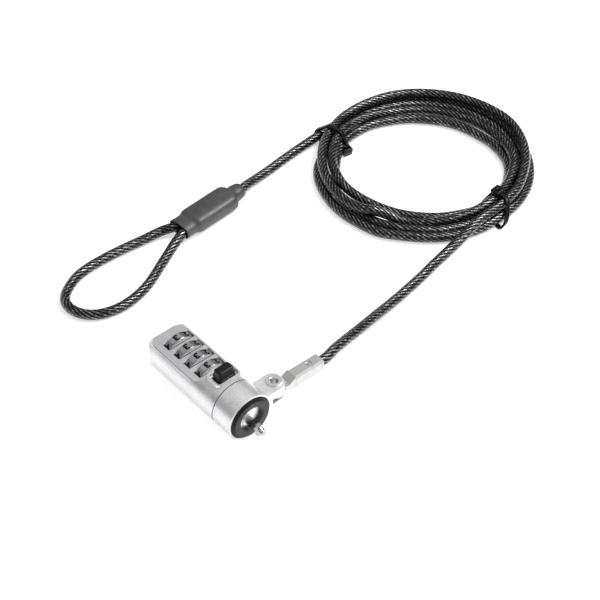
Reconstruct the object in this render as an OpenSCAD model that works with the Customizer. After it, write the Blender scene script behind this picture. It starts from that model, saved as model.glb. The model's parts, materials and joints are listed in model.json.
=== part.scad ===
// Laptop cable lock: a four-dial lock head on a swivel collar, a coiled steel cable and its anchor loop.
// +X runs along the lock head towards the T-bar, +Y towards the cable lug, +Z up from the table.
// The origin is under the middle of the lock head, on the table.

/* [Lock head] */
// Radius of the round body and of the swivel collar
body_r = 10.3; // [10:0.1:10.5]
// Length from the collar's front rim to the rear end
body_len = 53; // [53:0.5:56]
// Length of the swivel collar
collar_len = 9.9; // [9.8:0.1:10]
// Height of the flat dial panel above the axis
panel_h = 5.5; // [5.4:0.1:5.6]
// Height of the axis above the table
axis_z = 10.5; // [10.5:0.1:10.6]

/* [Dials] */
// Number of number wheels
dials = 4; // [4:1:4]
// Distance between neighbouring wheels
dial_pitch = 6.38; // [6.36:0.01:6.4]
// Radius of a number wheel over its ridges
dial_r = 8.0; // [7.9:0.05:8.05]
// Width of a number wheel
dial_w = 3.7; // [3.5:0.1:3.8]

/* [Button and T-bar] */
// How far the release button goes down
button_travel = 2.0; // [1.8:0.1:2.0]
// Height of the button's top above the axis
button_top = 13.9; // [13:0.1:14.2]
// Length of the T-bar's head across the slot
tbar_head = 5.8; // [5:0.1:6]
// Thickness of the T-bar's head across its length
tbar_thick = 2.8; // [2.4:0.1:2.9]
// How far the T-bar's nose stands in front of the collar
tbar_reach = 8.7; // [8:0.1:9]

/* [Cable] */
// Outer diameter of the jacketed steel cable
cable_d = 4.4; // [4:0.1:4.5]
// Turn of the end fitting about its rivet, in degrees
fitting_yaw = -1; // [-3:0.5:1]

/* [Hidden] */
$fn = 64;
eps = 0.01;
fit = 0.05;              // clearance round a fixed piece
run = 0.06;              // radial clearance round a turning piece

// The lock head is centred on the origin in X and Y without its cable
lug_y = 19.6;            // reach of the lug from the axis
lug_w = 9.4;             // its width along the axis
face_x = (body_len - tbar_reach) / 2;
axis_y = (body_r - lug_y) / 2;

// Distances back from the collar's front rim
seam = 0.4;              // gap between the turning collar and the housing
housing_front = collar_len + seam;
panel_front = 21;
first_dial = 26;
dial_chamber = [22.3, body_len - 1.6];
button_at = 16.2;
rivet_at = 5;
spindle_span = [1, 13.15];
crank_chamber = [13.2, 19.4];
boss = [12.2, 20.1];     // raised frame round the button
pocket = [13.0, 19.4];   // recess in that frame
guide = [13.75, 18.65];  // hole the button slides in
pin_at = 12.1;           // cross pin that holds the spindle
cover_span = [23, 50];   // opening under the dials
foot_span = [11.1, 51.1];

// Half widths, corners and gaps of the housing, seen from above
boss_half = 5.9;
pocket_half = 5.1;
guide_half = 4.25;
cover_half = 5.45;
foot_half = 3.5;
rear_corner = 6;
rear_round = 2.5;        // rounding of the rear rim
panel_corner = 4.7;
panel_rim = 0.75;        // width of the panel's border
plate_gap = 0.2;         // groove between that border and the dial plate
wheel_gap = 0.25;        // clearance over a wheel
wheel_bay = 2.05;        // half width of the bay a wheel turns in
wall = 0.7;              // least wall round the dial chamber
far = 60;                // past every outline, for cuts that go right through

// Radii
cavity_r = 8.3;
spindle_r = 6;
journal_r = 1.6;
shaft_r = 2.2;
sleeve_r = 4.2;
ring_r = 9.42;           // outside of the bumper ring
rivet_y = 16;
rivet_r = 2.1;
pin_r = 0.75;
cam_hole_r = 2.4;

// Heights above the axis
cavity_top = 4.3;
plate_floor = 5.15;
pocket_floor = 9.2;
spring_seat = 2.3;
flange_top = 8.1;
boss_top = 10.2;
foot_top = -9.65;
lug_half = 4.8;
slot_half = 1.2;
tang_half = 1.0;
eye_r = 4.4;             // round eye of the tang, nearly flush with the lug's sides

// The T-bar sits a little below and beside the axis, the dials and the button on its other side
tbar_y = -0.6;
tbar_z = -1.2;
dial_y = 1.4;
button_y = 0.8;
crank_r = 1.6;           // distance of its crank pin from its own axis
crank_pin_r = 0.6;
leg_bottom = tbar_z + crank_r * sin(45) + crank_pin_r + fit;

panel_half = sqrt(pow(body_r, 2) - pow(panel_h, 2));
window = [4.0, 12.4];

// Cable, coil, sleeve and ties
cable_r = cable_d / 2;
fitting_len = 22.7;
coil_at = [-48.7, 154.9];
coil_radii = [33.2, 50.6];
coil_h = 8.4;
tie_w = 2.4;
tie_t = 1.0;
tie_left_angle = 204;
tie_right_angle = 5;
sleeve_at = [-84.8, 44.2, 4.2];
sleeve_yaw = 5;
sleeve_len = 37;
barrel = [6.2, 30.6];    // start and end of the wide part, from the open end
ferrule = [8, 28.8];
leg_gap = 2.6;           // half the distance between the loop's legs in the ferrule

rivet_xy = [face_x - rivet_at, axis_y + rivet_y];
function turned(v, a) = [v.x * cos(a) - v.y * sin(a), v.x * sin(a) + v.y * cos(a)];
function fitting_point(s) = concat(rivet_xy + turned([0, s], fitting_yaw), [axis_z]);
function sleeve_point(x, s, z = 0) =
    [sleeve_at.x, sleeve_at.y, sleeve_at.z + z] + concat(turned([x, s], sleeve_yaw), [0]);

// Routes of the cable that isn't coiled: from the end fitting to the coil, from the coil to the
// sleeve, and round the anchor loop
lead_route = concat(
    [fitting_point(fitting_len), fitting_point(fitting_len + 3)],
    [
        [15.8, 43.9, 9.9], [13.7, 53, 8.3], [11.6, 61.8, 6.5], [9.5, 70.6, 4.9], [7.7, 79.2, 3.6],
        [6.1, 87.7, 2.7], [4.5, 96.1, 2.3], [3.1, 104.5, 2.2], [1.5, 111.2, 2.2], [0.4, 117.4, 2.3],
        [-0.5, 124.4, 2.9], [-1.2, 131.2, 4.2], [-1.7, 137.4, 6], [-2.8, 144.6, 6.1]
    ]
);
tail_route = concat(
    [
        [-97.4, 150.5, 2.3], [-96.4, 144.5, 2.5], [-95.3, 137.4, 3], [-94.7, 131.4, 3.1],
        [-94.5, 124.8, 2.7], [-94.1, 118.3, 2.3], [-93.1, 109.8, 2.2], [-91.8, 101.1, 2.2],
        [-90.4, 92, 2.8], [-89.1, 85.9, 3.7]
    ],
    [for (s = [sleeve_len + 1, sleeve_len - 1, ferrule[1]]) sleeve_point(0, s)]
);
loop_route = concat(
    [for (s = [ferrule[0], 2, 0]) sleeve_point(-leg_gap - 0.3 * (1 - s / ferrule[0]), s)],
    [
        [-89.6, 37.9, 3.2], [-91.3, 30.5, 2.4], [-92.4, 21, 2.2], [-92.9, 11, 2.2], [-92.6, 1.5, 2.2],
        [-91.2, -5.1, 2.2], [-88.7, -10.2, 2.2], [-85.7, -14.4, 2.2], [-82.1, -17, 2.2],
        [-78, -17.7, 2.2], [-74.3, -17, 2.2], [-70.7, -15, 2.2], [-67.7, -11.7, 2.2],
        [-65.6, -6.7, 2.2], [-64.7, -0.8, 2.2], [-65.3, 5.6, 2.2], [-67, 12.1, 2.2], [-69.9, 18.8, 2.2],
        [-73.6, 25.5, 2.2], [-77.2, 32.5, 2.5], [-80.2, 38.4, 3.3]
    ],
    [for (s = [0, 2, ferrule[0]]) sleeve_point(leg_gap + 0.3 * (1 - s / ferrule[0]), s)]
);

// A round tube swept along points, level with the table at every ring
function unit(v) = v / norm(v);
function tangent(p, i) =
    i == 0 ? unit(p[1] - p[0])
    : i == len(p) - 1 ? unit(p[i] - p[i - 1])
    : unit(unit(p[i] - p[i - 1]) + unit(p[i + 1] - p[i]));
function ring(p, i, r, sides) =
    let (t = tangent(p, i), side = unit(cross(t, [0, 0, 1])), up = cross(side, t))
    [for (k = [0 : sides - 1]) p[i] + r * (side * cos(360 * k / sides) + up * sin(360 * k / sides))];
module tube(p, r, sides) {
    n = len(p);
    points = [for (i = [0 : n - 1]) each ring(p, i, r, sides)];
    walls = [
        for (i = [0 : n - 2], k = [0 : sides - 1])
            let (a = i * sides + k, b = i * sides + (k + 1) % sides) [a, a + sides, b + sides, b]
    ];
    start = [for (k = [0 : sides - 1]) k];
    finish = [for (k = [sides - 1 : -1 : 0]) (n - 1) * sides + k];
    polyhedron(points, concat([start, finish], walls), convexity = 8);
}

// Shapes along the lock's axis, at a distance back from the collar's front rim
module on_axis() translate([0, axis_y, axis_z]) children();
module on_dials() translate([0, axis_y + dial_y, axis_z]) children();
module at(d, y = 0, z = 0) translate([face_x - d, y, z]) children();
module round_x(r, d0, d1, y = 0, z = 0) at(d1, y, z) rotate([0, 90, 0]) cylinder(r = r, h = d1 - d0);
module ring_x(r_in, r_out, d0, d1) {
    difference() {
        round_x(r_out, d0, d1);
        round_x(r_in, d0 - 1, d1 + 1);
    }
}
module box_x(d0, d1, y, z) at(d1) translate([0, y[0], z[0]]) cube([d1 - d0, y[1] - y[0], z[1] - z[0]]);

// Flat outlines
module rounded(w, h, r) {
    square([w - 2 * r, h], center = true);
    square([w, h - 2 * r], center = true);
    for (x = [-1, 1], y = [-1, 1])
        translate([x * (w / 2 - r), y * (h / 2 - r)]) circle(r);
}
module stadium(w, h) {
    square([w - h, h], center = true);
    for (x = [-1, 1])
        translate([x * (w - h) / 2, 0]) circle(h / 2);
}
// A rounded upright block, between two distances back and two heights
module slab(d0, d1, half_y, r, z0, z1) {
    at((d0 + d1) / 2) translate([0, 0, z0]) linear_extrude(z1 - z0) rounded(d1 - d0, 2 * half_y, r);
}

// The round body with its rounded rear rim
module rear_rounded(d0, d1) {
    deep = d1 - d0;
    rim = [
        for (a = [0 : 15 : 90]) [body_r - rear_round * (1 - cos(a)), deep - rear_round * (1 - sin(a))]
    ];
    at(d0) rotate([0, -90, 0]) rotate_extrude() polygon(concat([[0, 0], [body_r, 0]], rim, [[0, deep]]));
}
// The outline of the body from above, drawn in by an inset
module body_outline(inset)
    slab(-10, body_len - inset, body_r + eps - inset, rear_corner - inset, -far, far);
// The dial chamber's section, kept inside the wall of the rounded rear corners
module chamber(d0, d1, gap) {
    intersection() {
        translate([0, dial_y, 0]) round_x(cavity_r - gap, d0, d1);
        box_x(0, far, [-far, far], [-far, cavity_top - gap]);
        body_outline(wall + gap);
    }
}

function dial_x(k) = first_dial + (dials - k) * dial_pitch;
module dial_windows()
    for (k = [1 : dials])
        box_x(dial_x(k) - window.x / 2, dial_x(k) + window.x / 2, [-window.y / 2, window.y / 2], [2, 9]);
sleeve_half = (dial_pitch - 0.1) / 2;
stack_end = dial_x(1) + sleeve_half;

module housing() {
    color("silver") on_axis() difference() {
        union() {
            intersection() {
                rear_rounded(housing_front, body_len);
                body_outline(0);
            }
            translate([0, button_y, 0]) slab(boss[0], boss[1], boss_half, 1.8, 4, boss_top);
        }
        slab(panel_front, body_len + 20, panel_half + 0.05, panel_corner, panel_h, far);
        slab(panel_front + panel_rim, body_len - panel_rim, panel_half - panel_rim,
            panel_corner - panel_rim, plate_floor, far);
        chamber(dial_chamber[0], dial_chamber[1], 0);
        translate([0, dial_y, 0]) {
            for (k = [1 : dials])
                round_x(dial_r + wheel_gap, dial_x(k) - wheel_bay, dial_x(k) + wheel_bay);
            dial_windows();
            round_x(shaft_r + fit, 21.4, 23);
            round_x(cam_hole_r, 50, far);
        }
        // Button pocket, its guide hole, its chamber and the crank's chamber
        translate([0, button_y, 0]) {
            slab(pocket[0], pocket[1], pocket_half, 1.2, pocket_floor, 12);
            slab(guide[0], guide[1], guide_half, 0.8, 7, 12);
            box_x(crank_chamber[0], crank_chamber[1], [-5.2, 5.2], [spring_seat, flange_top + 0.1]);
        }
        box_x(crank_chamber[0], crank_chamber[1], [-1.2, 2.6],
            [leg_bottom - button_travel - 0.1, spring_seat + eps]);
        round_x(3.2, crank_chamber[0], crank_chamber[1], tbar_y, tbar_z);
        round_x(spindle_r + fit, 5, crank_chamber[0] + eps);
        // Blind bearing of the T-bar
        round_x(journal_r + run, crank_chamber[1] - eps, 21, tbar_y, tbar_z);
        // Opening and seat of the base cover, and the cross pin
        box_x(cover_span[0], cover_span[1], [-cover_half, cover_half], [-far, -5]);
        box_x(foot_span[0], foot_span[1], [-foot_half, foot_half], [-far, foot_top]);
        at(pin_at, 0, -12) cylinder(r = pin_r + fit, h = 8);
    }
}

module dial_plate() {
    color("gainsboro") on_axis() difference() {
        slab(panel_front + panel_rim + plate_gap, body_len - panel_rim - plate_gap,
            panel_half - panel_rim - plate_gap, panel_corner - panel_rim - plate_gap,
            plate_floor, panel_h + 0.1);
        translate([0, dial_y, 0]) dial_windows();
    }
}

module base_cover() {
    color("dimgray") on_axis() difference() {
        union() {
            intersection() {
                round_x(body_r, cover_span[0] + 0.1, cover_span[1] - 0.1);
                box_x(cover_span[0] + 0.1, cover_span[1] - 0.1,
                    [fit - cover_half, cover_half - fit], [-far, -5]);
            }
            box_x(foot_span[0] + 0.1, foot_span[1] - 0.1, [fit - foot_half, foot_half - fit],
                [-axis_z, foot_top - fit]);
        }
        round_x(cavity_r, 20, 52, dial_y);
        box_x(24, 49, [dial_y - 2.6, dial_y + 2.6], [-9.25, -5]);
        at(pin_at, 0, foot_top - fit - eps) cylinder(r = 0.9, h = 2);
    }
}

module spindle() {
    color("whitesmoke") on_axis() difference() {
        union() {
            round_x(spindle_r, spindle_span[0], spindle_span[1]);
            round_x(2.4, spindle_span[0] - 0.35, spindle_span[0] + 1, tbar_y, tbar_z);
        }
        ring_x(5.25, 8, 2.45, 3.35);
        round_x(journal_r + run, -5, 20, tbar_y, tbar_z);
        at(pin_at, 0, -7) cylinder(r = pin_r + fit, h = 3.6);
    }
}

module retaining_ring() {
    color("slategray") on_axis() difference() {
        ring_x(5.3, 7.8, 2.5, 3.3);
        box_x(0, 5, [-1.2, 1.2], [0, 9]);
    }
}

module bumper_ring() {
    // Radius and distance back from the rim
    section = [
        [spindle_r + fit, 2.3], [ring_r, 2.3], [ring_r, 0.1], [8.2, -1.15], [5.7, -1.15], [5.2, -0.8],
        [5.2, 0.6], [spindle_r + fit, 0.6]
    ];
    color("black") on_axis() at(0) rotate([0, -90, 0]) rotate_extrude() polygon(section);
}

module spindle_pin() {
    color("gray") on_axis() at(pin_at, 0, -9.5) cylinder(r = pin_r, h = 6);
}

module code_shaft() {
    color("lightgray") on_dials() {
        difference() {
            round_x(shaft_r, 21.5, 49.7);
            round_x(1.2, 46, 50);
        }
        for (k = [1 : dials])
            box_x(dial_x(k) - 0.4, dial_x(k) + 0.4, [-0.6, 0.6], [1.5, 3.2]);
    }
}

module rear_bearing() {
    color("silver") on_axis() difference() {
        chamber(stack_end + 0.5, stack_end + 1.7, fit);
        round_x(shaft_r + fit, 40, 55, dial_y);
    }
}

module thrust_washer() {
    color("lightgray") on_dials()
        ring_x(shaft_r + fit, sleeve_r, dial_chamber[0] + fit, first_dial - sleeve_half - 0.04);
}

module stack_spring() {
    color("slategray") on_dials() ring_x(shaft_r + 0.3, sleeve_r, stack_end + 0.06, stack_end + 0.45);
}

module detent_spring() {
    leaf_w = 1.1;
    color("goldenrod") on_dials() {
        box_x(24.2, 48.8, [-2.4, -1.3], [-9.2, -8.9]);
        for (k = [1 : dials]) {
            box_x(dial_x(k) - leaf_w, dial_x(k) + leaf_w, [-1.3 - eps, 2.2], [-9.2, -8.9]);
            box_x(dial_x(k) - leaf_w, dial_x(k) + leaf_w, [-0.4, 0.4], [-8.9 - eps, -dial_r - 0.15]);
        }
    }
}

module button_spring() {
    turns = 5;
    steps = 14;
    wire_r = 0.22;
    coil_r = 1.25;
    low = spring_seat + wire_r + 0.02;
    high = flange_top - 1.1 - wire_r - 0.02;
    path = [
        for (i = [0 : turns * steps])
            let (a = 360 * i / steps)
            [coil_r * cos(a), coil_r * sin(a), low + (high - low) * i / (turns * steps)]
    ];
    color("lightgray") on_axis() at(button_at, -2.75, 0) tube(path, wire_r, 6);
}

// A number wheel: ten flats for the digits between narrow ridges
module dial_wheel(k) {
    flat_r = 7.72;
    lean = 8;            // how far the digit in the window is past the top
    color("lightgray") on_dials() difference() {
        union() {
            round_x(dial_r, dial_x(k) - dial_w / 2 + 0.3, dial_x(k) + dial_w / 2 - 0.3);
            round_x(dial_r - 0.35, dial_x(k) - dial_w / 2, dial_x(k) + dial_w / 2);
        }
        for (i = [0 : 9])
            rotate([lean + 36 * i, 0, 0])
                box_x(dial_x(k) - 3, dial_x(k) + 3, [-3, 3], [flat_r, 9]);
        round_x(sleeve_r + fit, 20, 52);
        box_x(20, 52, [-0.55, 0.55], [0, 5.4]);
    }
}

// The sleeve inside a wheel: its gate slot lets the shaft's fin through, its recess lets the fin turn
module code_sleeve(k) {
    mid = dial_x(k);
    color("gold") on_dials() difference() {
        union() {
            round_x(sleeve_r, mid - sleeve_half, mid + sleeve_half);
            box_x(mid - 1.2, mid + 1.2, [-0.5, 0.5], [4, 5.3]);
        }
        round_x(shaft_r + run, mid - 5, mid + 5);
        round_x(3.5, mid - 0.7, mid + 0.7);
        box_x(mid - 5, mid, [-3.6, 0], [-0.75, 0.75]);
    }
}

module button() {
    color("black") on_axis() {
        translate([0, button_y, 0]) {
            hull() {
                slab(13.95, 18.5, 4.1, 1.1, flange_top - eps, 11.2);
                slab(14.1, 18.35, 3.75, 1.0, 11.2, 12.9);
                slab(14.45, 18.0, 3.2, 0.8, 12.9, button_top);
            }
            box_x(13.4, 19.2, [-5.0, 5.0], [flange_top - 1.1, flange_top]);
        }
        box_x(15.0, 17.4, [-0.4, 1.5], [leg_bottom, flange_top - 1]);
    }
}

// A round bar along X from the T-bar's own axis
module bar(r, x0, x1, y = 0, z = 0) translate([x0, y, z]) rotate([0, 90, 0]) cylinder(r = r, h = x1 - x0);

module t_bar() {
    head = [5.0, 6.9];
    web_r = 2.6;
    pin = crank_r * sin(45);
    color("gainsboro") on_axis() at(0, tbar_y, tbar_z) {
        bar(journal_r, -14.6, head[0] + eps);
        intersection() {
            bar(tbar_head / 2, head[0], head[1]);
            translate([head[0], -tbar_thick / 2, -tbar_head / 2])
                cube([head[1] - head[0], tbar_thick, tbar_head]);
        }
        translate([head[1] - eps, 0, 0]) rotate([0, 90, 0])
            cylinder(r1 = 1.6, r2 = 1.1, h = tbar_reach - head[1] + eps);
        // The crank: two webs with an offset pin between them
        bar(web_r, -14.6, -13.6);
        bar(web_r, -18.8, -17.8);
        bar(crank_pin_r, -17.9, -14.5, pin, pin);
        bar(journal_r, -20.8, -18.7);
    }
}

module reset_cam() {
    color("silver") on_dials() difference() {
        union() {
            round_x(3.2, dial_chamber[1] - 1.1, dial_chamber[1] - 0.06);
            round_x(2.34, dial_chamber[1] - 0.1, body_len - 0.3);
        }
        box_x(body_len - 1.1, body_len + 1, [-1.8, 1.8], [-0.4, 0.4]);
    }
}

module swivel_collar() {
    color("silver") on_axis() difference() {
        union() {
            round_x(body_r, 0, collar_len);
            at(rivet_at, lug_y / 2, -lug_half) linear_extrude(2 * lug_half) {
                rounded(lug_w, lug_y, 4.2);
                translate([0, -lug_y / 4]) square([lug_w, lug_y / 2], center = true);
            }
        }
        round_x(ring_r + 0.08, -1, 3.5);
        round_x(spindle_r + run, 0, 20);
        // Slot for the fitting's tang, and the rivet's hole
        translate([0, rivet_y - eye_r - 0.2, -slot_half]) cube([60, 20, 2 * slot_half]);
        at(rivet_at, rivet_y, -10) cylinder(r = rivet_r, h = 20);
    }
}

module pivot_rivet() {
    flange_r = 3.15;
    color("white") on_axis() at(rivet_at, rivet_y, 0) difference() {
        union() {
            cylinder(r = rivet_r, h = 2 * lug_half + 0.4, center = true);
            for (s = [-1, 1])
                translate([0, 0, s * (lug_half + 0.25)]) cylinder(r = flange_r, h = 0.5, center = true);
        }
        cylinder(r = 1.35, h = 20, center = true);
        for (s = [0, 180])
            rotate([s, 0, 0]) translate([0, 0, lug_half]) cylinder(r1 = 1.35, r2 = 1.85, h = 0.51);
    }
}

// The flat eye on the rivet, a sloped shoulder and the block that is pressed on the cable
module end_fitting() {
    block_start = 8.7;
    block_half = 2.9;
    bevel = 0.9;
    color("white") translate(concat(rivet_xy, [axis_z])) rotate([0, 0, fitting_yaw]) {
        difference() {
            union() {
                translate([0, 0, -tang_half]) cylinder(r = eye_r, h = 2 * tang_half);
                translate([-2.7, 0, -tang_half]) cube([5.4, block_start, 2 * tang_half]);
            }
            cylinder(r = rivet_r + run, h = 10, center = true);
        }
        // Shoulder, seen from the side
        rotate([90, 0, 90]) translate([0, 0, -2.75]) linear_extrude(5.5)
            polygon([
                [5.7, -tang_half], [5.7, tang_half], [6.3, 1.5], [block_start + eps, block_half],
                [block_start + eps, -block_half], [6.3, -1.5]
            ]);
        difference() {
            translate([0, block_start, 0]) rotate([-90, 0, 0]) linear_extrude(fitting_len - block_start)
                polygon([
                    for (q = [[1, 1], [-1, 1], [-1, -1], [1, -1]])
                        let (first = [q.x * (block_half - bevel), q.y * block_half],
                             second = [q.x * block_half, q.y * (block_half - bevel)])
                        each (q.x * q.y > 0 ? [second, first] : [first, second])
                ]);
            translate([0, 17.2, block_half - 0.3]) difference() {
                cylinder(r = 1.25, h = 1);
                cylinder(r = 0.85, h = 1);
            }
        }
    }
}

module cable_lead() {
    color("black") tube(lead_route, cable_r, 10);
}

module cable_tail() {
    color("black") tube(tail_route, cable_r, 10);
}

module cable_loop() {
    color("black") tube(loop_route, cable_r, 10);
}

module cable_coil() {
    color("black") translate(concat(coil_at, [0])) difference() {
        rotate_extrude($fn = 96) translate([(coil_radii[0] + coil_radii[1]) / 2, coil_h / 2])
            rounded(coil_radii[1] - coil_radii[0], coil_h, 2.2);
        for (a = [tie_left_angle, tie_right_angle])
            rotate([0, 0, a]) translate([30, -tie_w / 2 - 0.3, -1]) cube([26, tie_w + 0.6, 1 + tie_t + 0.1]);
    }
}

// Shapes along the sleeve, between two distances from its open end
module on_sleeve() translate(sleeve_at) rotate([0, 0, sleeve_yaw]) rotate([-90, 0, 0]) children();
module flat_bar(w, h, s0, s1) translate([0, 0, s0]) linear_extrude(s1 - s0) stadium(w, h);

module loop_ferrule() {
    color("silver") on_sleeve() flat_bar(10.4, 6.8, ferrule[0], ferrule[1]);
}

module loop_sleeve() {
    taper = 0.9;
    color("dimgray") on_sleeve() difference() {
        union() {
            flat_bar(11.6, 6.6, 0, barrel[0] + 1);
            flat_bar(13.3, 8.4, barrel[0] + taper, barrel[1] - taper);
            flat_bar(12.5, 7.6, barrel[0], barrel[1]);
            cylinder(r = 3.1, h = sleeve_len);
        }
        flat_bar(10.4 + 2 * fit, 6.8 + 2 * fit, ferrule[0] - fit, ferrule[1] + fit);
        flat_bar(10.5, 5.2, -1, ferrule[0]);
        cylinder(r = cable_r + fit, h = 60);
    }
}

// A tie round the bundle: a flat band and the head that locks it
module tie(angle, outer) {
    inner = 32.5;
    head = [4.6, 5.0, 4.2];
    mid = (inner + outer) / 2;
    color("black") translate(concat(coil_at, [0])) rotate([0, 0, angle]) {
        rotate([90, 0, 0]) linear_extrude(tie_w, center = true) difference() {
            translate([mid, 4.85]) rounded(outer - inner + 2 * tie_t, 9.7, 2.2);
            translate([mid, 4.85]) rounded(outer - inner, 9.7 - 2 * tie_t, 1.2);
        }
        translate([inner - tie_t - head.x + 0.1, -head.y / 2, 0]) cube(head);
    }
}
module tie_left() tie(tie_left_angle, 53.9);
module tie_right() tie(tie_right_angle, 51.3);

housing();
dial_plate();
base_cover();
spindle();
retaining_ring();
bumper_ring();
spindle_pin();
code_shaft();
rear_bearing();
thrust_washer();
stack_spring();
detent_spring();
button_spring();
for (k = [1 : dials]) {
    dial_wheel(k);
    code_sleeve(k);
}
button();
t_bar();
reset_cam();
swivel_collar();
pivot_rivet();
end_fitting();
cable_lead();
cable_coil();
cable_tail();
cable_loop();
loop_ferrule();
loop_sleeve();
tie_left();
tie_right();
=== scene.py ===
"""The looks of the laptop cable lock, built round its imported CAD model."""

import json
import math

import bmesh
import bpy
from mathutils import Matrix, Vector
from mathutils.kdtree import KDTree


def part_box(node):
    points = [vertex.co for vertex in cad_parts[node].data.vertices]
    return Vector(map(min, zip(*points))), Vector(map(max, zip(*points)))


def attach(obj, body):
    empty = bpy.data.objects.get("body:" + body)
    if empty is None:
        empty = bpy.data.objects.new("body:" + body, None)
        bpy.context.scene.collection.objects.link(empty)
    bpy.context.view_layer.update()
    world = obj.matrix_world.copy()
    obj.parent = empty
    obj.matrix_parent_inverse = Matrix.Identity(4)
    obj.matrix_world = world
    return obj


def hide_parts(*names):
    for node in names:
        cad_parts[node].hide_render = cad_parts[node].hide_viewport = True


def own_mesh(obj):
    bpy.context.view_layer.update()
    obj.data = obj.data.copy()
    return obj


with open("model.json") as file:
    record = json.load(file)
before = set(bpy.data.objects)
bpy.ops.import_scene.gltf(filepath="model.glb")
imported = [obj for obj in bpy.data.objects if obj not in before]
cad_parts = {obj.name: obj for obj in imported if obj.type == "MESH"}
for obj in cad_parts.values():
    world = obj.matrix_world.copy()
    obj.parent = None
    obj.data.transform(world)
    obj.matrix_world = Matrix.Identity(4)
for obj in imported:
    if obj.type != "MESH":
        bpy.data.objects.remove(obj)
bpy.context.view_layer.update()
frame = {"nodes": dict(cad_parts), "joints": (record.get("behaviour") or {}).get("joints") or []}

MM = 0.001
JOINTS = {j["name"]: j for j in frame["joints"]}

# The lock's axis, and its collar's front rim, from which distances back are counted
axis_y, axis_z = JOINTS["head_swivel"]["pos_m"][1:]
dial_axis_y = JOINTS["dial_1_turn"]["pos_m"][1]
rim_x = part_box("swivel_collar")[1].x


def mm(*point):
    """A point in millimetres, as a vector in metres."""
    return Vector(point) * MM


def on_lock(d, y, h):
    """A point at d back from the collar's rim, y beside the lock's axis and h above it, in millimetres."""
    return Vector((rim_x - d * MM, axis_y + y * MM, axis_z + h * MM))


# ---------------------------------------------------------------- camera and studio

CAMERA_AZIMUTH, CAMERA_ELEVATION = 49, 44.4     # degrees
CAMERA_DISTANCE = 0.658
CAMERA_TARGET = mm(-21.34, 57.93, 0)
CAMERA_LENS, CAMERA_SENSOR = 95.4, 36           # millimetres


def make_camera():
    azimuth, elevation = math.radians(CAMERA_AZIMUTH), math.radians(CAMERA_ELEVATION)
    back = Vector((
        math.sin(azimuth) * math.cos(elevation),
        -math.cos(azimuth) * math.cos(elevation),
        math.sin(elevation),
    ))
    camera = bpy.data.objects.new("camera", bpy.data.cameras.new("camera"))
    camera.data.lens = CAMERA_LENS
    camera.data.sensor_width = CAMERA_SENSOR
    camera.location = CAMERA_TARGET + back * CAMERA_DISTANCE
    camera.rotation_mode = "QUATERNION"
    camera.rotation_quaternion = (-back).to_track_quat("-Z", "Y")
    bpy.context.scene.collection.objects.link(camera)
    bpy.context.scene.camera = camera


def area_light(name, place, aim, width, length, watts):
    light = bpy.data.lights.new(name, "AREA")
    light.shape = "RECTANGLE"
    light.size, light.size_y, light.energy = width, length, watts
    ob = bpy.data.objects.new(name, light)
    ob.location = place
    ob.rotation_mode = "QUATERNION"
    ob.rotation_quaternion = (Vector(aim) - Vector(place)).to_track_quat("-Z", "Y")
    bpy.context.scene.collection.objects.link(ob)


WORLD_GREYS = ((0, 0.3), (0.12, 0.1), (0.35, 0.25), (0.6, 0.62), (1, 0.75))     # (height, grey)
FLOOR_SIZE = 6
FLOOR_DROP = 0.0001    # so that the floor doesn't lie in the pieces' undersides


def make_studio():
    middle = (-0.04, 0.09, 0)
    area_light("key", (0.18, 0.56, 0.86), middle, 0.38, 0.38, 9)
    area_light("side", (0.95, 0.5, 0.25), middle, 0.3, 0.6, 2)
    world = bpy.data.worlds.new("studio")
    world.use_nodes = True
    tree = world.node_tree
    direction = tree.nodes.new("ShaderNodeTexCoord").outputs["Generated"]
    height = tree.nodes.new("ShaderNodeSeparateXYZ")
    ramp = tree.nodes.new("ShaderNodeValToRGB")
    # A dark band low round the room, so that polished metal has something dark to show
    points = ramp.color_ramp.elements
    for place, grey in WORLD_GREYS:
        point = points[0] if place == 0 else points[-1] if place == 1 else points.new(place)
        point.position = place
        point.color = (grey, grey, grey, 1)
    tree.links.new(direction, height.inputs["Vector"])
    tree.links.new(height.outputs["Z"], ramp.inputs["Fac"])
    tree.links.new(ramp.outputs["Color"], tree.nodes["Background"].inputs["Color"])
    bpy.context.scene.world = world
    bpy.context.scene.view_settings.view_transform = "Standard"
    bpy.ops.mesh.primitive_plane_add(size=FLOOR_SIZE, location=(0, 0, -FLOOR_DROP))
    floor = bpy.context.object
    floor.name = "floor"
    look = Look("floor_paper", (0.93, 0.93, 0.93), 0.7)
    look.set("Specular IOR Level", 0.2)
    # The paper is lit from below as well, so that shadows on it stay faint
    look.set("Emission Color", (1, 1, 1, 1))
    look.set("Emission Strength", 0.5)
    floor.data.materials.append(look.mat)


# ---------------------------------------------------------------- materials

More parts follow.
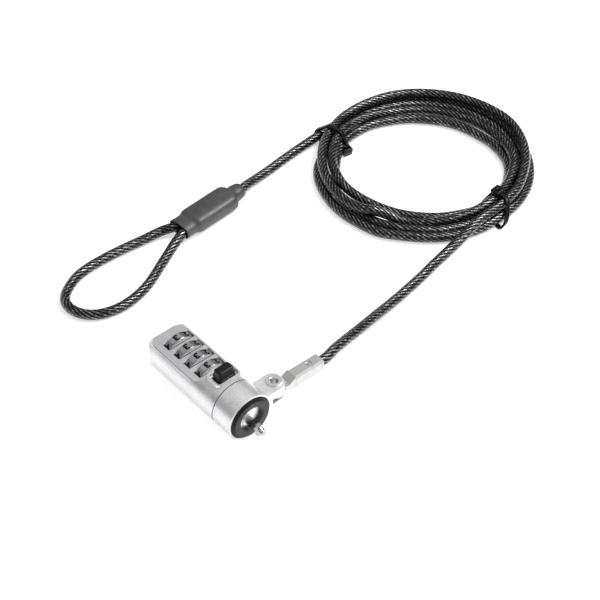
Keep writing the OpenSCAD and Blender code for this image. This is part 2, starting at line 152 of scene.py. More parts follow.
class Look:
    """A procedural material on a Principled shader, and short ways to add nodes to it."""

    def __init__(self, name, colour, roughness, metallic=0.0):
        self.mat = bpy.data.materials.new(name)
        self.mat.use_nodes = True
        self.tree = self.mat.node_tree
        self.shader = self.tree.nodes["Principled BSDF"]
        self.set("Base Color", (*colour, 1))
        self.set("Roughness", roughness)
        self.set("Metallic", metallic)

    def set(self, socket, value):
        """Gives a shader socket a number or colour, or links it to another node's output."""
        self.put(self.shader.inputs[socket], value)

    def put(self, socket, value):
        if isinstance(value, bpy.types.NodeSocket):
            self.tree.links.new(value, socket)
        else:
            socket.default_value = value

    def node(self, kind, inputs=None, **settings):
        made = self.tree.nodes.new(kind)
        for key, value in settings.items():
            setattr(made, key, value)
        for key, value in (inputs or {}).items():
            self.put(made.inputs[key], value)
        return made

    def where(self, stretch=(1, 1, 1)):
        """The place on the object, in metres, stretched along its axes."""
        place = self.node("ShaderNodeTexCoord").outputs["Object"]
        return self.node("ShaderNodeMapping", {"Vector": place, "Scale": stretch}).outputs["Vector"]

    def noise(self, scale, detail, stretch=(1, 1, 1), rough=0.5):
        made = self.node("ShaderNodeTexNoise", {
            "Vector": self.where(stretch), "Scale": scale, "Detail": detail, "Roughness": rough,
        })
        return made.outputs["Fac"]

    def calc(self, operation, a, b=0.0):
        return self.node("ShaderNodeMath", {0: a, 1: b}, operation=operation).outputs[0]

    def between(self, fac, low, high, start, end):
        """fac brought from start..end to low..high."""
        made = self.node("ShaderNodeMapRange", {
            "Value": fac, "From Min": start, "From Max": end, "To Min": low, "To Max": high,
        })
        return made.outputs["Result"]

    def colours(self, fac, *stops):
        """A colour ramp from (place, grey or colour) stops."""
        ramp = self.node("ShaderNodeValToRGB", {"Fac": fac})
        points = ramp.color_ramp.elements
        while len(points) < len(stops):
            points.new(0.5)
        for point, (place, colour) in zip(points, stops):
            point.position = place
            point.color = (*colour, 1) if hasattr(colour, "__len__") else (colour, colour, colour, 1)
        return ramp.outputs["Color"]

    def mixed(self, fac, a, b):
        made = self.node("ShaderNodeMix", {"Factor": fac, "A": a, "B": b}, data_type="RGBA")
        return made.outputs["Result"]

    def bump(self, height, distance, strength):
        """A bumped normal; distance is the relief's depth in metres."""
        inputs = {"Height": height, "Distance": distance, "Strength": strength}
        return self.node("ShaderNodeBump", inputs).outputs["Normal"]

    def off_axis(self, centre_y):
        """The distance from a line along the lock at centre_y and the lock axis's height, in metres."""
        place = self.node("ShaderNodeTexCoord").outputs["Object"]
        flat = self.node("ShaderNodeVectorMath", {0: place, 1: (0, 1, 1)}, operation="MULTIPLY")
        ends = {0: flat.outputs["Vector"], 1: (0, centre_y, axis_z)}
        return self.node("ShaderNodeVectorMath", ends, operation="DISTANCE").outputs["Value"]


def ramped(look, fac, *stops):
    look.set("Base Color", look.colours(fac, *stops))


def satin_silver():
    """Fine metallic paint on a casting: flakes, a slight orange peel and a few duller patches, with
    painted shade on the walls round the dials.
    """
    look = Look("satin_silver", (0.8, 0.8, 0.81), 0.36, 0.75)
    flakes = look.noise(2600, 2, rough=0.7)
    patches = look.noise(160, 3)
    both = look.calc("ADD", look.calc("MULTIPLY", flakes, 0.75), look.calc("MULTIPLY", patches, 0.25))
    paint = look.colours(
        both, (0.3, (0.5, 0.5, 0.51)), (0.5, (0.7, 0.7, 0.71)), (0.7, (0.86, 0.86, 0.87))
    )
    # Painted shade: the walls round the dials are coloured near black instead of the paint.
    look.set("Base Color", look.mixed(chamber_shade_mask(look), paint, (0.006, 0.006, 0.006, 1)))
    look.set("Roughness", look.between(patches, 0.3, 0.42, 0.3, 0.7))
    look.set("Normal", look.bump(flakes, 0.000012, 0.5))
    return look.mat


# Painted shade on the walls of the dials' chamber, within these bounds, in millimetres from the dials'
# axis and back from the collar's rim
CHAMBER_RADIUS, CHAMBER_TOP = 8.5, 5.1
CHAMBER_FRONT, CHAMBER_REAR = 21.5, 47.1


def chamber_shade_mask(look):
    """1 on the walls round the dials, in front of the rounded rear corners, where shade is painted, and 0
    elsewhere.
    """
    place = look.node("ShaderNodeTexCoord").outputs["Object"]
    parts = look.node("ShaderNodeSeparateXYZ", {"Vector": place}).outputs
    near = look.calc("LESS_THAN", look.off_axis(dial_axis_y), CHAMBER_RADIUS * MM)
    below = look.calc("LESS_THAN", parts["Z"], axis_z + CHAMBER_TOP * MM)
    front = look.calc("LESS_THAN", parts["X"], rim_x - CHAMBER_FRONT * MM)
    rear = look.calc("GREATER_THAN", parts["X"], rim_x - CHAMBER_REAR * MM)
    return look.calc("MULTIPLY", look.calc("MULTIPLY", near, below), look.calc("MULTIPLY", front, rear))


def brushed_plate():
    """A dull plate brushed along the lock."""
    look = Look("brushed_plate", (0.45, 0.45, 0.46), 0.4, 0.85)
    lines = look.noise(1, 3, (60, 5200, 5200), 0.7)
    cloud = look.noise(220, 2)
    ramped(look, lines, (0.3, (0.5, 0.5, 0.51)), (0.7, (0.66, 0.66, 0.67)))
    look.set("Roughness", look.between(cloud, 0.32, 0.46, 0.3, 0.7))
    look.set("Normal", look.bump(lines, 0.00001, 0.6))
    return look.mat


def plated(name, colour, roughness, grain=2600):
    """Bright plating with faint marks and a thin haze."""
    look = Look(name, colour, roughness, 1.0)
    marks = look.noise(grain, 3, rough=0.6)
    haze = look.noise(300, 2)
    dull = tuple(c * 0.9 for c in colour)
    ramped(look, haze, (0.35, dull), (0.65, colour))
    look.set("Roughness", look.between(marks, roughness * 0.7, roughness * 1.4, 0.3, 0.7))
    look.set("Normal", look.bump(marks, 0.000004, 0.4))
    return look.mat


def turned_steel(name, colour, roughness):
    """Metal with the fine rings that a lathe leaves round the lock's axis."""
    look = Look(name, colour, roughness, 1.0)
    rings = look.noise(1, 2, (9000, 90, 90), 0.6)
    ramped(look, rings, (0.35, tuple(c * 0.75 for c in colour)), (0.65, colour))
    look.set("Roughness", look.between(rings, roughness * 0.7, roughness * 1.5, 0.3, 0.7))
    look.set("Normal", look.bump(rings, 0.000006, 0.5))
    return look.mat


def moulded(name, colour, roughness, shine=0.5):
    """Moulded rubber or plastic: a fine texture, cloudy sheen and slight changes in its colour."""
    spread = 0.25
    look = Look(name, colour, roughness)
    fine = look.noise(4200, 2, rough=0.6)
    cloud = look.noise(260, 3)
    dark = tuple(c * (1 - spread) for c in colour)
    light = tuple(min(c * (1 + spread), 1) for c in colour)
    ramped(look, cloud, (0.3, dark), (0.7, light))
    look.set("Roughness", look.between(cloud, roughness * 0.85, roughness * 1.15, 0.3, 0.7))
    look.set("Normal", look.bump(fine, 0.00001, 0.6))
    look.set("Specular IOR Level", shine)
    return look.mat


STRANDS = 9            # strands round the steel rope
LAY = 0.024            # metres along the cable for one turn of a strand
WIRES = 3              # wires that show across a strand
WIRE_SLANT = 900       # wires passed in each metre along the cable


def steel_rope():
    """A steel rope in a smoke-tinted clear jacket: strands and wires below, coloured with painted shade in
    their grooves and a painted highlight on their crowns, and smooth gloss on top.
    """
    look = Look("cable_jacket", (0.1, 0.1, 0.1), 0.4, 0.9)
    uv = look.node("ShaderNodeUVMap", uv_map="along").outputs["UV"]
    parts = look.node("ShaderNodeSeparateXYZ", {"Vector": uv})
    turn, along = parts.outputs["X"], parts.outputs["Y"]
    lay = look.calc("MULTIPLY", along, 1 / LAY)
    strand = look.calc("FRACT", look.calc("MULTIPLY", look.calc("SUBTRACT", turn, lay), STRANDS))
    across = look.calc("ABSOLUTE", look.calc("SUBTRACT", look.calc("MULTIPLY", strand, 2), 1))
    crown = look.calc("SUBTRACT", 1.0, look.calc("MULTIPLY", across, across))
    slant = look.calc("MULTIPLY", along, WIRE_SLANT)
    wires = look.calc("FRACT", look.calc("ADD", look.calc("MULTIPLY", strand, WIRES), slant))
    wire = look.calc("ABSOLUTE", look.calc("SUBTRACT", look.calc("MULTIPLY", wires, 2), 1))
    round_wire = look.calc("SUBTRACT", 1.0, look.calc("MULTIPLY", wire, wire))
    height = look.calc("ADD", look.calc("MULTIPLY", crown, 0.9), look.calc("MULTIPLY", round_wire, 0.1))
    dirt = look.noise(900, 2)
    shade = look.calc("MULTIPLY", height, look.between(dirt, 0.85, 1.05, 0.3, 0.7))
    # The strands' pattern is real; its black grooves and flanks are painted shade and its light crowns a
    # painted highlight, varied a little by dirt.
    ramped(look, shade, (0.35, 0.0), (0.72, 0.003), (0.9, 0.08), (1.0, 0.52))
    look.set("Roughness", look.between(dirt, 0.28, 0.42, 0.3, 0.7))
    look.set("Normal", look.bump(height, 0.0003, 0.7))
    look.set("Coat Weight", 0.7)
    look.set("Coat Roughness", 0.1)
    look.set("Coat IOR", 1.33)
    look.set("Coat Normal", look.bump(crown, 0.00016, 0.8))
    return look.mat


def bumper_rubber():
    """Matt grey rubber, with painted shade: a blacker band where the ring's front slopes away."""
    band_start, band_end = 7.9 * MM, 8.3 * MM
    look = Look("black_rubber", (0.03, 0.03, 0.03), 0.5)
    band = look.between(look.off_axis(axis_y), 0, 1, band_start, band_end)
    cloud = look.noise(500, 3)
    face = look.colours(cloud, (0.3, 0.032), (0.7, 0.05))
    # Painted shade: near black on the sloping band, the rubber's own grey on the flat face.
    look.set("Base Color", look.mixed(band, face, (0.004, 0.004, 0.004, 1)))
    look.set("Roughness", look.between(look.noise(300, 2), 0.42, 0.55, 0.3, 0.7))
    look.set("Specular IOR Level", 0.2)
    look.set("Normal", look.bump(look.noise(5200, 2), 0.00001, 0.5))
    return look.mat


# ---------------------------------------------------------------- shapes

def add_piece(name, mesh, body, material, smooth=True):
    mesh.materials.clear()
    mesh.materials.append(material)
    mesh.polygons.foreach_set("use_smooth", [smooth] * len(mesh.polygons))
    ob = bpy.data.objects.new(name, mesh)
    bpy.context.scene.collection.objects.link(ob)
    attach(ob, body)
    return ob


def from_bmesh(bm, name):
    bmesh.ops.recalc_face_normals(bm, faces=bm.faces)
    mesh = bpy.data.meshes.new(name)
    bm.to_mesh(mesh)
    bm.free()
    return mesh


def spline(points, step, closed=False):
    """A smooth line through points, with points about step apart."""
    points = [Vector(p) for p in points]
    if closed:
        around = [points[-1], *points, points[0], points[1]]
    else:
        around = [2 * points[0] - points[1], *points, 2 * points[-1] - points[-2]]
    line = []
    for p0, p1, p2, p3 in zip(around, around[1:], around[2:], around[3:]):
        t1 = (p1 - p0).length ** 0.5
        t2 = t1 + (p2 - p1).length ** 0.5
        t3 = t2 + (p3 - p2).length ** 0.5
        count = max(1, round((p2 - p1).length / step))
        for k in range(count):
            t = t1 + (t2 - t1) * k / count
            a1 = p0.lerp(p1, t / t1)
            a2 = p1.lerp(p2, (t - t1) / (t2 - t1))
            a3 = p2.lerp(p3, (t - t2) / (t3 - t2))
            b1 = a1.lerp(a2, t / t2)
            b2 = a2.lerp(a3, (t - t1) / (t3 - t1))
            line.append(b1.lerp(b2, (t - t1) / (t2 - t1)))
    if not closed:
        line.append(points[-1])
    return line


def evenly(line, step):
    """The same line with points exactly evenly spaced, about step apart."""
    lengths = [0.0]
    for a, b in zip(line, line[1:]):
        lengths.append(lengths[-1] + (b - a).length)
    count = round(lengths[-1] / step)
    out, i = [], 0
    for k in range(count + 1):
        at = lengths[-1] * k / count
        while i < len(line) - 2 and lengths[i + 1] < at:
            i += 1
        span = lengths[i + 1] - lengths[i]
        out.append(line[i].lerp(line[i + 1], (at - lengths[i]) / span))
    return out


def tube_mesh(name, line, radius, sides):
    """A closed round tube with UVs: the turn round it, and metres along it."""
    count = len(line)
    verts, along = [], [0.0]
    side = (line[1] - line[0]).cross(Vector((0, 0, 1))).normalized()
    for i, p in enumerate(line):
        tangent = (line[min(i + 1, count - 1)] - line[max(i - 1, 0)]).normalized()
        side = (side - tangent * side.dot(tangent)).normalized()
        up = tangent.cross(side)
        for k in range(sides):
            a = 2 * math.pi * k / sides
            verts.append(p + radius * (side * math.cos(a) + up * math.sin(a)))
        if i:
            along.append(along[-1] + (p - line[i - 1]).length)
    faces, uvs = [], []
    for i in range(count - 1):
        for k in range(sides):
            n = (k + 1) % sides
            faces.append((i * sides + k, i * sides + n, (i + 1) * sides + n, (i + 1) * sides + k))
            u0, u1 = k / sides, (k + 1) / sides
            uvs += [(u0, along[i]), (u1, along[i]), (u1, along[i + 1]), (u0, along[i + 1])]
    for start, order in ((0, range(sides - 1, -1, -1)), ((count - 1) * sides, range(sides))):
        faces.append([start + k for k in order])
        uvs += [(k / sides, along[0 if start == 0 else -1]) for k in order]
    mesh = bpy.data.meshes.new(name)
    mesh.from_pydata(verts, [], faces)
    layer = mesh.uv_layers.new(name="along")
    layer.data.foreach_set("uv", [c for uv in uvs for c in uv])
    return mesh


def skin(bm, rings, closed=False):
    """Faces between rings of points, and over the two ends unless the last ring joins the first."""
    made = [[bm.verts.new(p) for p in ring] for ring in rings]
    pairs = list(zip(made, made[1:]))
    if closed:
        pairs.append((made[-1], made[0]))
    for a, b in pairs:
        for k in range(len(a)):
            n = (k + 1) % len(a)
            bm.faces.new((a[k], a[n], b[n], b[k]))
    if not closed:
        bm.faces.new(list(reversed(made[0])))
        bm.faces.new(made[-1])


def oval(half_w, half_h, power):
    """Points of a rounded outline: power 2 is an ellipse, and more makes it squarer."""
    points, count = [], 48
    for k in range(count):
        a = 2 * math.pi * k / count
        c, s = math.cos(a), math.sin(a)
        points.append((
            math.copysign(abs(c) ** (2 / power), c) * half_w,
            math.copysign(abs(s) ** (2 / power), s) * half_h,
        ))
    return points


def rounded_outline(half_x, half_y, radius, corner=6):
    """Points of a rectangle with round corners."""
    points = []
    for q, (sx, sy) in enumerate(((1, 1), (-1, 1), (-1, -1), (1, -1))):
        for k in range(corner + 1):
            a = math.radians(90 * q + 90 * k / corner)
            points.append((
                sx * (half_x - radius) + radius * math.cos(a),
                sy * (half_y - radius) + radius * math.sin(a),
            ))
    return points


# ---------------------------------------------------------------- the cable

# All in millimetres but EXIT, which is in metres, and the ties' places round the coil, in degrees
CABLE_D = 4.4
COIL_CENTRE = (-48.7, 154.9)
COIL_RADIUS = 43.4
FLOOR_LEVEL = 2.2      # the height of a cable that lies on the floor
RIGHT_TIE, LEFT_TIE = 5, 204
TIE_LIFT = 0.9         # how far a strap under the bundle lifts it
TIE_LIFT_SPREAD = 11   # and over how many degrees that fades

# From the end fitting to the coil, where it climbs onto the turns
LEAD = [
    (17.6, 33, 10.5), (17.6, 37, 10.4), (15.8, 43.9, 9.9), (13.7, 53, 8.3), (11.6, 61.8, 6.5),
    (9.5, 70.6, 4.9), (7.7, 79.2, 3.6), (6.1, 87.7, 2.7), (4.5, 96.1, 2.3), (3.1, 104.5, 2.2),
    (1.5, 111.2, 2.2), (0.4, 117.4, 2.3), (-0.5, 124.4, 2.9), (-1.2, 131.2, 4.2), (-1.7, 137.4, 6),
    (-2.8, 144.6, 6.5), (-3.3, 152, 6.6),
]
# From the coil to the sleeve
TAIL = [
    (-96.4, 144.5, 2.5), (-95.3, 137.4, 3), (-94.7, 131.4, 3.1), (-94.5, 124.8, 2.7),
    (-94.1, 118.3, 2.3), (-93.1, 109.8, 2.2), (-91.8, 101.1, 2.2), (-90.4, 92, 2.8), (-89.1, 85.9, 3.7),
]
# Round the anchor loop
LOOP = [
    (-89.9, 38.9, 3.2), (-91.3, 30.5, 2.4), (-92.4, 21, 2.2), (-92.9, 11, 2.2), (-92.6, 1.5, 2.2),
    (-91.2, -5.1, 2.2), (-88.7, -10.2, 2.2), (-85.7, -14.4, 2.2), (-82.1, -17, 2.2), (-78, -17.7, 2.2),
    (-74.3, -17, 2.2), (-70.7, -15, 2.2), (-67.7, -11.7, 2.2), (-65.6, -6.7, 2.2),
    (-64.7, -0.8, 2.2), (-65.3, 5.6, 2.2), (-67, 12.1, 2.2), (-69.9, 18.8, 2.2), (-73.6, 25.5, 2.2),
    (-77.2, 32.5, 2.5), (-80, 38.6, 3.3),
]
SLEEVE_START = (-84.8, 44.2, 4.2)
SLEEVE_YAW = math.radians(5)
SLEEVE_LENGTH = 37

# Each turn of the coil: degrees round it, distance outwards from the middle radius, and height.
# The first rides on top of the others, and each in turn drops inside the one before.
TURNS = [
    [(5, 1.8, 6), (23, 1, 6), (36, 1.4, 6), (48, 2.7, 6), (60, 4.1, 6), (84, 5.9, 6), (106, 5.6, 6),
     (150, 5.2, 6), (172, 4, 6), (187, 3.4, 6), (204, 2.2, 6), (269, 2.2, 6), (309, -4, 2.2),
     (337, -3.4, 3.8)],
    [(5, -2.4, 6), (34, -2.6, 6), (48, -2.1, 6), (62, -3.2, 5.4), (83, -3.5, 4), (100, -3, 2.8),
     (117, -2.8, 2.2), (150, -1.9, 2.2), (187, -2.4, 4.9), (204, -2.2, 6), (247, -2.6, 5.8),
     (287, -8.2, 2.2), (309, -8.4, 2.2), (337, -6.6, 2.2)],
    [(5, -4.4, 2.2), (34, -4.4, 2.2), (53, -4.7, 2.2), (71, -6.4, 2.2), (91, -8.8, 2.2),
     (134, -9.4, 2.2), (153, -8.4, 2.2), (187, -5.4, 2.2), (204, -4.4, 2.2), (229, -4.2, 2.2),
     (262, 0.5, 2.2), (309, 0.5, 2.2)],
    [(5, 0, 2.2), (57, 0.4, 2.2), (90, 1.5, 2.2), (139, 2, 2.2), (187, 0.8, 2.2), (204, 0.1, 2.2),
     (242, 4.7, 2.2), (274, 5.6, 2.2), (291, 5.5, 2.2), (309, 4.9, 2.2)],
    [(5, 4.4, 2.2), (57, 4.9, 2.2), (90, 6.2, 2.2), (139, 6.4, 2.2), (183, 5.6, 2.2)],
]


def on_coil(angle, out, height):
    """A point of the coil, in millimetres."""
    a = math.radians(angle)
    r = COIL_RADIUS + out
    return Vector((COIL_CENTRE[0] + r * math.cos(a), COIL_CENTRE[1] + r * math.sin(a), height))


def on_sleeve(x, s, z=0.0):
    """A point beside, along and above the sleeve's axis, in millimetres from its open end."""
    c, n = math.cos(SLEEVE_YAW), math.sin(SLEEVE_YAW)
    return Vector((
        SLEEVE_START[0] + x * c - s * n,
        SLEEVE_START[1] + x * n + s * c,
        SLEEVE_START[2] + z,
    ))


def tie_lift(angle):
    """How far the ties' straps lift the bundle at this place round the coil."""
    away = ((angle - tie + 180) % 360 - 180 for tie in (RIGHT_TIE, LEFT_TIE))
    return TIE_LIFT * sum(math.exp(-(gap / TIE_LIFT_SPREAD) ** 2) for gap in away)


def coil_points():
    """Points along every turn, step degrees apart, eased from one key to the next."""
    step = 8
    keys = [(360 * n + a, out, h) for n, turn in enumerate(TURNS) for a, out, h in turn]
    points, i = [], 0
    angle = keys[0][0] + step
    while angle < keys[-1][0]:
        while keys[i + 1][0] < angle:
            i += 1
        (a0, out0, h0), (a1, out1, h1) = keys[i], keys[i + 1]
        t = (angle - a0) / (a1 - a0)
        t = t * t * (3 - 2 * t)
        points.append(on_coil(angle, out0 + (out1 - out0) * t, h0 + (h1 - h0) * t + tie_lift(angle)))
        angle += step
    return points


def settle(line, first, last):
    """Pushes the turns apart where they would lie in each other, and keeps the cable above the floor."""
    rounds = 40
    skip = 12          # points along the cable that are too near to be another turn
    give = 0.3         # share of an overlap that one round clears
    smoothing = 0.25   # share of the way that a point moves to its neighbours' middle
    line = [p.copy() for p in line]
    for _ in range(rounds):
        tree = KDTree(len(line))
        for i, p in enumerate(line):
            tree.insert(p, i)
        tree.balance()
        push = [Vector() for _ in line]
        for i in range(first, last):
            for q, j, gap in tree.find_range(line[i], CABLE_D):
                if abs(i - j) > skip:
                    push[i] += (line[i] - q) / max(gap, 0.1) * (CABLE_D - gap) * give
        for i in range(first, last):
            line[i] += push[i]
        for i in range(first, last):
            middle = (line[i - 1] + line[i + 1]) / 2
            line[i] = line[i].lerp(middle, smoothing)
            line[i].z = max(line[i].z, FLOOR_LEVEL)
    return line


def cable_line():
    """The whole cable's centreline, in metres."""
    sleeve = [on_sleeve(0, s) for s in (38, 34, 30)]
    out_leg = [on_sleeve(-1.6, 26), on_sleeve(-2.6, 21), on_sleeve(-2.6, 8), on_sleeve(-2.9, 0)]
    back_leg = [on_sleeve(2.9, 0), on_sleeve(2.6, 8), on_sleeve(2.6, 18)]
    points = [Vector(p) for p in LEAD] + coil_points() + [Vector(p) for p in TAIL]
    points += sleeve + out_leg + [Vector(p) for p in LOOP] + back_leg
    line = evenly(spline(points, 1.0), 1.0)
    # Before the ninth point of LEAD and after the seventh of TAIL the cable lies exactly as given
    first, last = (
        min(range(len(line)), key=lambda i: (line[i] - Vector(p)).length) for p in (LEAD[8], TAIL[6])
    )
    line = settle(line, first, last)
    return [p * MM for p in evenly(line, 1.0)]


def make_cable(material):
    line = cable_line()
    length = sum((b - a).length for a, b in zip(line, line[1:]))
    print("cable length", round(length, 3))
    mesh = tube_mesh("cable", line, CABLE_D / 2 * MM, sides=24)
    cable = add_piece("cable", mesh, "cable", material)
    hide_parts("cable_lead", "cable_coil", "cable_tail", "cable_loop")
    return cable, line


SLEEVE_SECTIONS = [
    # distance along, half width, half height, squareness
    (0, 5.9, 3.3, 2.5), (0.3, 6.0, 3.4, 2.5), (2, 5.85, 3.35, 2.5), (4.6, 5.85, 3.4, 2.5),
    (5.8, 6.0, 3.5, 2.5), (6.6, 6.35, 3.85, 2.6), (7.4, 6.6, 4.1, 2.7), (8.4, 6.65, 4.2, 2.8),
    (14, 6.68, 4.2, 2.8),
    (20, 6.7, 4.2, 2.8), (26, 6.68, 4.2, 2.8), (28.6, 6.6, 4.18, 2.8), (29.7, 6.3, 4.05, 2.7),
    (30.5, 5.4, 3.85, 2.5), (31.1, 4.4, 3.6, 2.3), (31.8, 4.05, 3.45, 2.2), (33.2, 4.15, 3.4, 2.1),
    (35.4, 3.9, 3.3, 2.1), (36.6, 3.6, 3.15, 2), (37, 3.2, 2.9, 2),
]


def make_sleeve(material):
    """A shrunk sleeve over the ferrule, open round the two legs of the loop and tight round the neck."""
    def ring(s, half_w, half_h, power):
        return [on_sleeve(x, s, z) * MM for x, z in oval(half_w, half_h, power)]

    wall, mouth_depth, lip = 0.55, 9, 0.05
    neck_radius, neck_depth = 2.25, 3
    outside = [ring(*section) for section in SLEEVE_SECTIONS]
    inside = [
        ring(max(s, lip), w - wall, h - wall, p) for s, w, h, p in SLEEVE_SECTIONS if s < mouth_depth
    ]
    neck_hole = [
        ring(s, neck_radius, neck_radius, 2) for s in (SLEEVE_LENGTH - lip, SLEEVE_LENGTH - neck_depth)
    ]
    bm = bmesh.new()
    skin(bm, [*reversed(inside), *outside, *neck_hole])
    mesh = from_bmesh(bm, "loop_sleeve_skin")
    sleeve = add_piece("loop_sleeve_skin", mesh, "cable", material)
    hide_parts("loop_sleeve")
    return sleeve


def hull_2d(points):
    """The convex outline of flat points, in order."""
    points = sorted(points)

    def half(side):
        chain = []
        for p in side:
            while len(chain) > 1:
                (ax, ay), (bx, by) = chain[-2:]
                if (bx - ax) * (p[1] - ay) - (by - ay) * (p[0] - ax) > 0:
                    break
                chain.pop()
            chain.append(p)
        return chain[:-1]

    return half(points) + half(list(reversed(points)))


def make_tie(name, line, angle, top_skew, bottom_skew, slack, head_at, head_turn, head_tall, material):
    """A tie round the bundle: its strap follows the turns' own outline, and its head locks the end.

    top_skew and bottom_skew are how far along the coil the strap's top and bottom lie, each at the inner
    and at the outer side, and slack is how far it stands out at the outer side's foot. head_at is how far
    the head stands inside the turns, along the coil and up, head_turn its turn in degrees and head_tall
    its height as a share of an upright one. The lengths are in millimetres.
    """
    centre = Vector((*COIL_CENTRE, 0))
    a = math.radians(angle)
    out, around = Vector((math.cos(a), math.sin(a), 0)), Vector((-math.sin(a), math.cos(a), 0))
    strap, width, corner = 1.0, 2.2, 0.35
    clear = CABLE_D / 2 + strap / 2
    section = rounded_outline(width / 2, strap / 2, corner, 3)
    crossings = []
    for p, q in zip(line, line[1:]):
        p, q = p / MM - centre, q / MM - centre
        if p.dot(around) <= 0 < q.dot(around) and p.dot(out) > 0:
            crossings.append((p.dot(out), p.z))
    cloud = [
        (r + clear * math.cos(t), max(z + clear * math.sin(t), strap / 2))
        for r, z in crossings
        for t in (2 * math.pi * k / 24 for k in range(24))
    ]
    outline = hull_2d(cloud)
    low, high = min(r for r, _ in outline), max(r for r, _ in outline)
    top = max(z for _, z in outline)
    route = []
    for r, z in outline:
        share, rise = (r - low) / (high - low), z / top
        skew = (top_skew[0] + (top_skew[1] - top_skew[0]) * share) * rise
        skew += (bottom_skew[0] + (bottom_skew[1] - bottom_skew[0]) * share) * (1 - rise)
        loose = slack * share * (1 - rise) ** 0.5
        route.append((centre + out * (r + loose) + around * skew + Vector((0, 0, z))) * MM)
    route = spline(route, 0.6 * MM, closed=True)
    bm = bmesh.new()
    rings = []
    for i, p in enumerate(route):
        tangent = (route[(i + 1) % len(route)] - route[i - 1]).normalized()
        across = (around - tangent * around.dot(tangent)).normalized()
        thick = tangent.cross(across)
        rings.append([p + (across * x + thick * y) * MM for x, y in section])
    skin(bm, rings, closed=True)
    # The head, on the inside of the bundle, with the slot that the strap comes out of
    inwards, along, height = head_at
    head = centre + out * (low - inwards) + around * along + Vector((0, 0, height))
    turn = math.radians(angle + head_turn)
    head_x = Vector((math.cos(turn), math.sin(turn), 0))
    head_y = Vector((-math.sin(turn), math.cos(turn), 0))
    levels = [
        # height, half size outwards, half size along the coil, corner radius
        (-2.1, 1.7, 1.9, 0.3), (-1.8, 2.1, 2.3, 0.5), (1.4, 2.3, 2.5, 0.5), (1.9, 2.1, 2.3, 0.5),
        (2.1, 1.8, 2.0, 0.4), (2.1, 0.75, 1.35, 0.2), (1.0, 0.7, 1.3, 0.2),
    ]
    skin(bm, [
        [
            (head + head_x * x + head_y * y + Vector((0, 0, h * head_tall))) * MM
            for x, y in rounded_outline(hx, hy, r, 3)
        ]
        for h, hx, hy, r in levels
    ])
    # The strap's cut end, which stands out of the head
    end = [
        head + Vector((0, 0, -1 * head_tall)),
        head + Vector((0, 0, 2.3 * head_tall)),
        head - out * 0.3 + Vector((0, 0, 2.9 * head_tall)),
    ]
    skin(bm, [[(p + head_y * x + head_x * y) * MM for x, y in section] for p in end])
    tie = add_piece(name + "_strap", from_bmesh(bm, name + "_strap"), "cable", material)
    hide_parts(name)
    return tie


# ---------------------------------------------------------------- the lock head

def soften(node, width):
    """Rounds a CAD part's sharp edges a little, with modifiers; width is in millimetres."""
    weld_distance, flat_angle, sharp_angle = 0.002, 0.4, 32
    ob = frame["nodes"][node]
    weld = ob.modifiers.new("weld", "WELD")
    weld.merge_threshold = weld_distance * MM
    flat = ob.modifiers.new("flat", "DECIMATE")
    flat.decimate_type = "DISSOLVE"
    flat.angle_limit = math.radians(flat_angle)
    bevel = ob.modifiers.new("bevel", "BEVEL")
    bevel.width = width * MM
    bevel.segments = 2
    bevel.limit_method = "ANGLE"
    bevel.angle_limit = math.radians(sharp_angle)
    bevel.use_clamp_overlap = True
    normals = ob.modifiers.new("normals", "WEIGHTED_NORMAL")
    normals.keep_sharp = False


def make_button(material):
    """The release button: a crowned cap, the flange that keeps it in and the leg that turns the crank."""
    cap_d, flange_d = 16.2, 16.3
    cap_y, leg_y = 0.8, 0.55
    cap = [
        # height, half length along the lock, half width, corner radius
        (8.1, 2.25, 4.05, 1.0), (10.6, 2.28, 4.1, 1.1), (11.4, 2.2, 3.95, 1.1), (12.0, 2.08, 3.72, 1.0),
        (12.6, 2.02, 3.6, 1.0), (13.1, 2.02, 3.55, 0.9), (13.4, 1.95, 3.46, 0.9), (13.58, 1.8, 3.3, 0.8),
        (13.7, 1.5, 3.0, 0.7), (13.8, 0.9, 2.2, 0.5), (13.85, 0.35, 1.2, 0.2),
    ]

    def ring(h, hx, hy, r, d=cap_d, y=cap_y):
        return [on_lock(d - px, y + py, h) for px, py in rounded_outline(hx, hy, r)]

    bm = bmesh.new()
    skin(bm, [ring(*level) for level in cap])
    skin(bm, [ring(h, 2.9, 5.0, 0.4, flange_d) for h in (7.0, 7.05, 8.05, 8.1)])
    skin(bm, [ring(h, 1.2, 0.95, 0.2, cap_d, leg_y) for h in (0.58, 0.65, 7.0, 7.2)])
    button = add_piece("button_cap", from_bmesh(bm, "button_cap"), "button", material)
    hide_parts("button")


def make_return_spring(material):
    """The button's return spring, in its CAD solid's place."""
    low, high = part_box("button_spring")
    wire, turns, steps = 0.22 * MM, 5, 20     # the wire's radius, and steps in each turn
    tall = high.z - low.z
    middle, radius = (low + high) / 2, (high.x - low.x) / 2 - wire
    line = []
    for i in range(turns * steps + 1):
        a = 2 * math.pi * i / steps
        rise = low.z + wire + (tall - 2 * wire) * i / (turns * steps)
        line.append(Vector((middle.x + radius * math.cos(a), middle.y + radius * math.sin(a), rise)))
    mesh = tube_mesh("return_spring", line, wire, sides=8)
    spring = add_piece("return_spring", mesh, "lock_body", material)
    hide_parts("button_spring")
    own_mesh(spring)


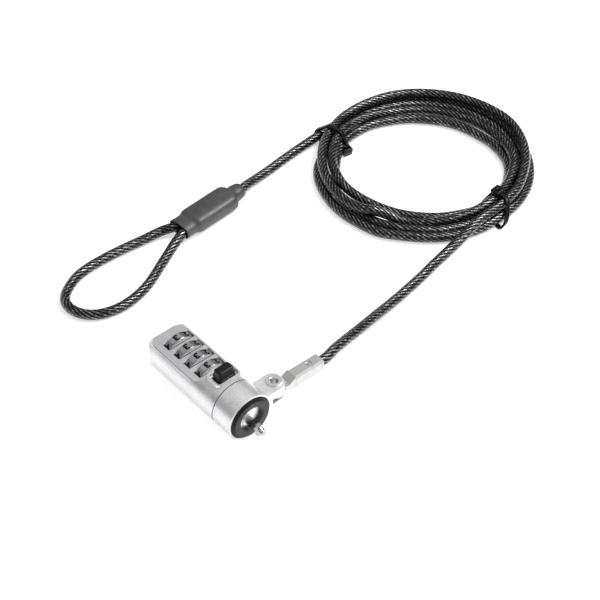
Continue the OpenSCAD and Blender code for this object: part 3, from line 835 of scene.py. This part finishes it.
def glyph(text, height, width):
    """One numeral as a thin solid, height tall and about width wide, centred on the origin."""
    bolder, wide_share = 0.05, 0.72     # the outline's offset, and a numeral's usual width over its height
    curve = bpy.data.curves.new("glyph", "FONT")
    curve.body = text
    curve.size = 1
    curve.offset = bolder
    curve.extrude = 0.01
    curve.resolution_u = 6
    ob = bpy.data.objects.new("glyph", curve)
    mesh = bpy.data.meshes.new_from_object(ob)
    bpy.data.objects.remove(ob)
    bpy.data.curves.remove(curve)
    xs, ys = [v.co.x for v in mesh.vertices], [v.co.y for v in mesh.vertices]
    tall = max(ys) - min(ys)
    nominal = wide_share * tall
    for v in mesh.vertices:
        v.co.x = (v.co.x - (max(xs) + min(xs)) / 2) / nominal * width
        v.co.y = (v.co.y - (max(ys) + min(ys)) / 2) / tall * height
    return mesh


def make_digits(k, material):
    """The ten numerals printed on a wheel's flats, with 3 in the window."""
    flat, lean, film = 7.72, 8, 0.02     # a flat's distance from the axis, the wheel's turn, the ink
    height, width, shown = 3.0, 2.5, 3
    axis = Vector(JOINTS[f"dial_{k}_turn"]["pos_m"])
    bm = bmesh.new()
    for i in range(10):
        a = math.radians(lean + 36 * i)
        normal = Vector((0, -math.sin(a), math.cos(a)))
        right = Vector((0, -math.cos(a), -math.sin(a)))
        centre = axis + normal * flat * MM
        mesh = glyph(str((shown + i) % 10), height * MM, width * MM)
        top = max(v.co.z for v in mesh.vertices)
        for v in mesh.vertices:
            raised = film * MM if v.co.z > top / 2 else 0
            v.co = centre + right * v.co.x + Vector((1, 0, 0)) * v.co.y + normal * raised
        bm.from_mesh(mesh)
        bpy.data.meshes.remove(mesh)
    mesh = from_bmesh(bm, f"digits_{k}")
    add_piece(f"digits_{k}", mesh, f"dial_{k}", material, smooth=False)


# ---------------------------------------------------------------- the whole

def dress(material, *nodes):
    for node in nodes:
        frame["nodes"][node].data.materials[0] = material


make_camera()
make_studio()
steel = turned_steel("bright_steel", (0.5, 0.5, 0.51), 0.12)
silver = satin_silver()
dress(silver, "housing", "swivel_collar", "base_cover", "rear_bearing")
dress(brushed_plate(), "dial_plate")
dress(plated("dial_chrome", (0.42, 0.42, 0.43), 0.22), *[f"dial_wheel_{k}" for k in range(1, 5)])
dress(plated("nickel", (0.8, 0.8, 0.79), 0.22), "pivot_rivet")
dress(plated("crimp_nickel", (0.56, 0.56, 0.555), 0.36, 9000), "end_fitting")
dress(plated("nose_silver", (0.95, 0.95, 0.95), 0.45), "spindle")
dress(steel, "t_bar", "code_shaft", "thrust_washer", "spindle_pin", "reset_cam")
spring_steel = turned_steel("spring_steel", (0.42, 0.43, 0.45), 0.3)
dress(spring_steel, "retaining_ring", "stack_spring", "detent_spring")
dress(turned_steel("brass", (0.78, 0.6, 0.3), 0.3), *[f"code_sleeve_{k}" for k in range(1, 5)])
dress(plated("ferrule_alloy", (0.6, 0.6, 0.62), 0.4), "loop_ferrule")
dress(bumper_rubber(), "bumper_ring")
for node, width in {
    "housing": 0.25, "swivel_collar": 0.2, "base_cover": 0.1, "dial_plate": 0.05, "end_fitting": 0.15,
    "pivot_rivet": 0.1, "t_bar": 0.1, "bumper_ring": 0.15, "spindle": 0.1,
    **{f"dial_wheel_{k}": 0.06 for k in range(1, 5)},
}.items():
    soften(node, width)

button_black = moulded("black_button", (0.004, 0.004, 0.0045), 0.3, shine=0.22)
ink = moulded("numeral_ink", (0.002, 0.002, 0.002), 0.6, shine=0.1)
make_button(button_black)
make_return_spring(spring_steel)
for wheel in range(1, 5):
    make_digits(wheel, ink)

cable, cable_path = make_cable(steel_rope())
sleeve = make_sleeve(moulded("black_sleeve", (0.05, 0.05, 0.052), 0.42))
tie_black = moulded("black_tie", (0.004, 0.004, 0.004), 0.3, shine=0.2)
ties = [
    make_tie(
        "tie_left", cable_path, LEFT_TIE, top_skew=(2.0, -1.5), bottom_skew=(3.0, 0.0), slack=0.0,
        head_at=(0.4, 4.6, 2.3), head_turn=-35, head_tall=0.85, material=tie_black,
    ),
    make_tie(
        "tie_right", cable_path, RIGHT_TIE, top_skew=(3.2, 1.0), bottom_skew=(-2.5, -8.0), slack=1.6,
        head_at=(-4.6, 2.4, 9.8), head_turn=0, head_tall=0.6, material=tie_black,
    ),
]
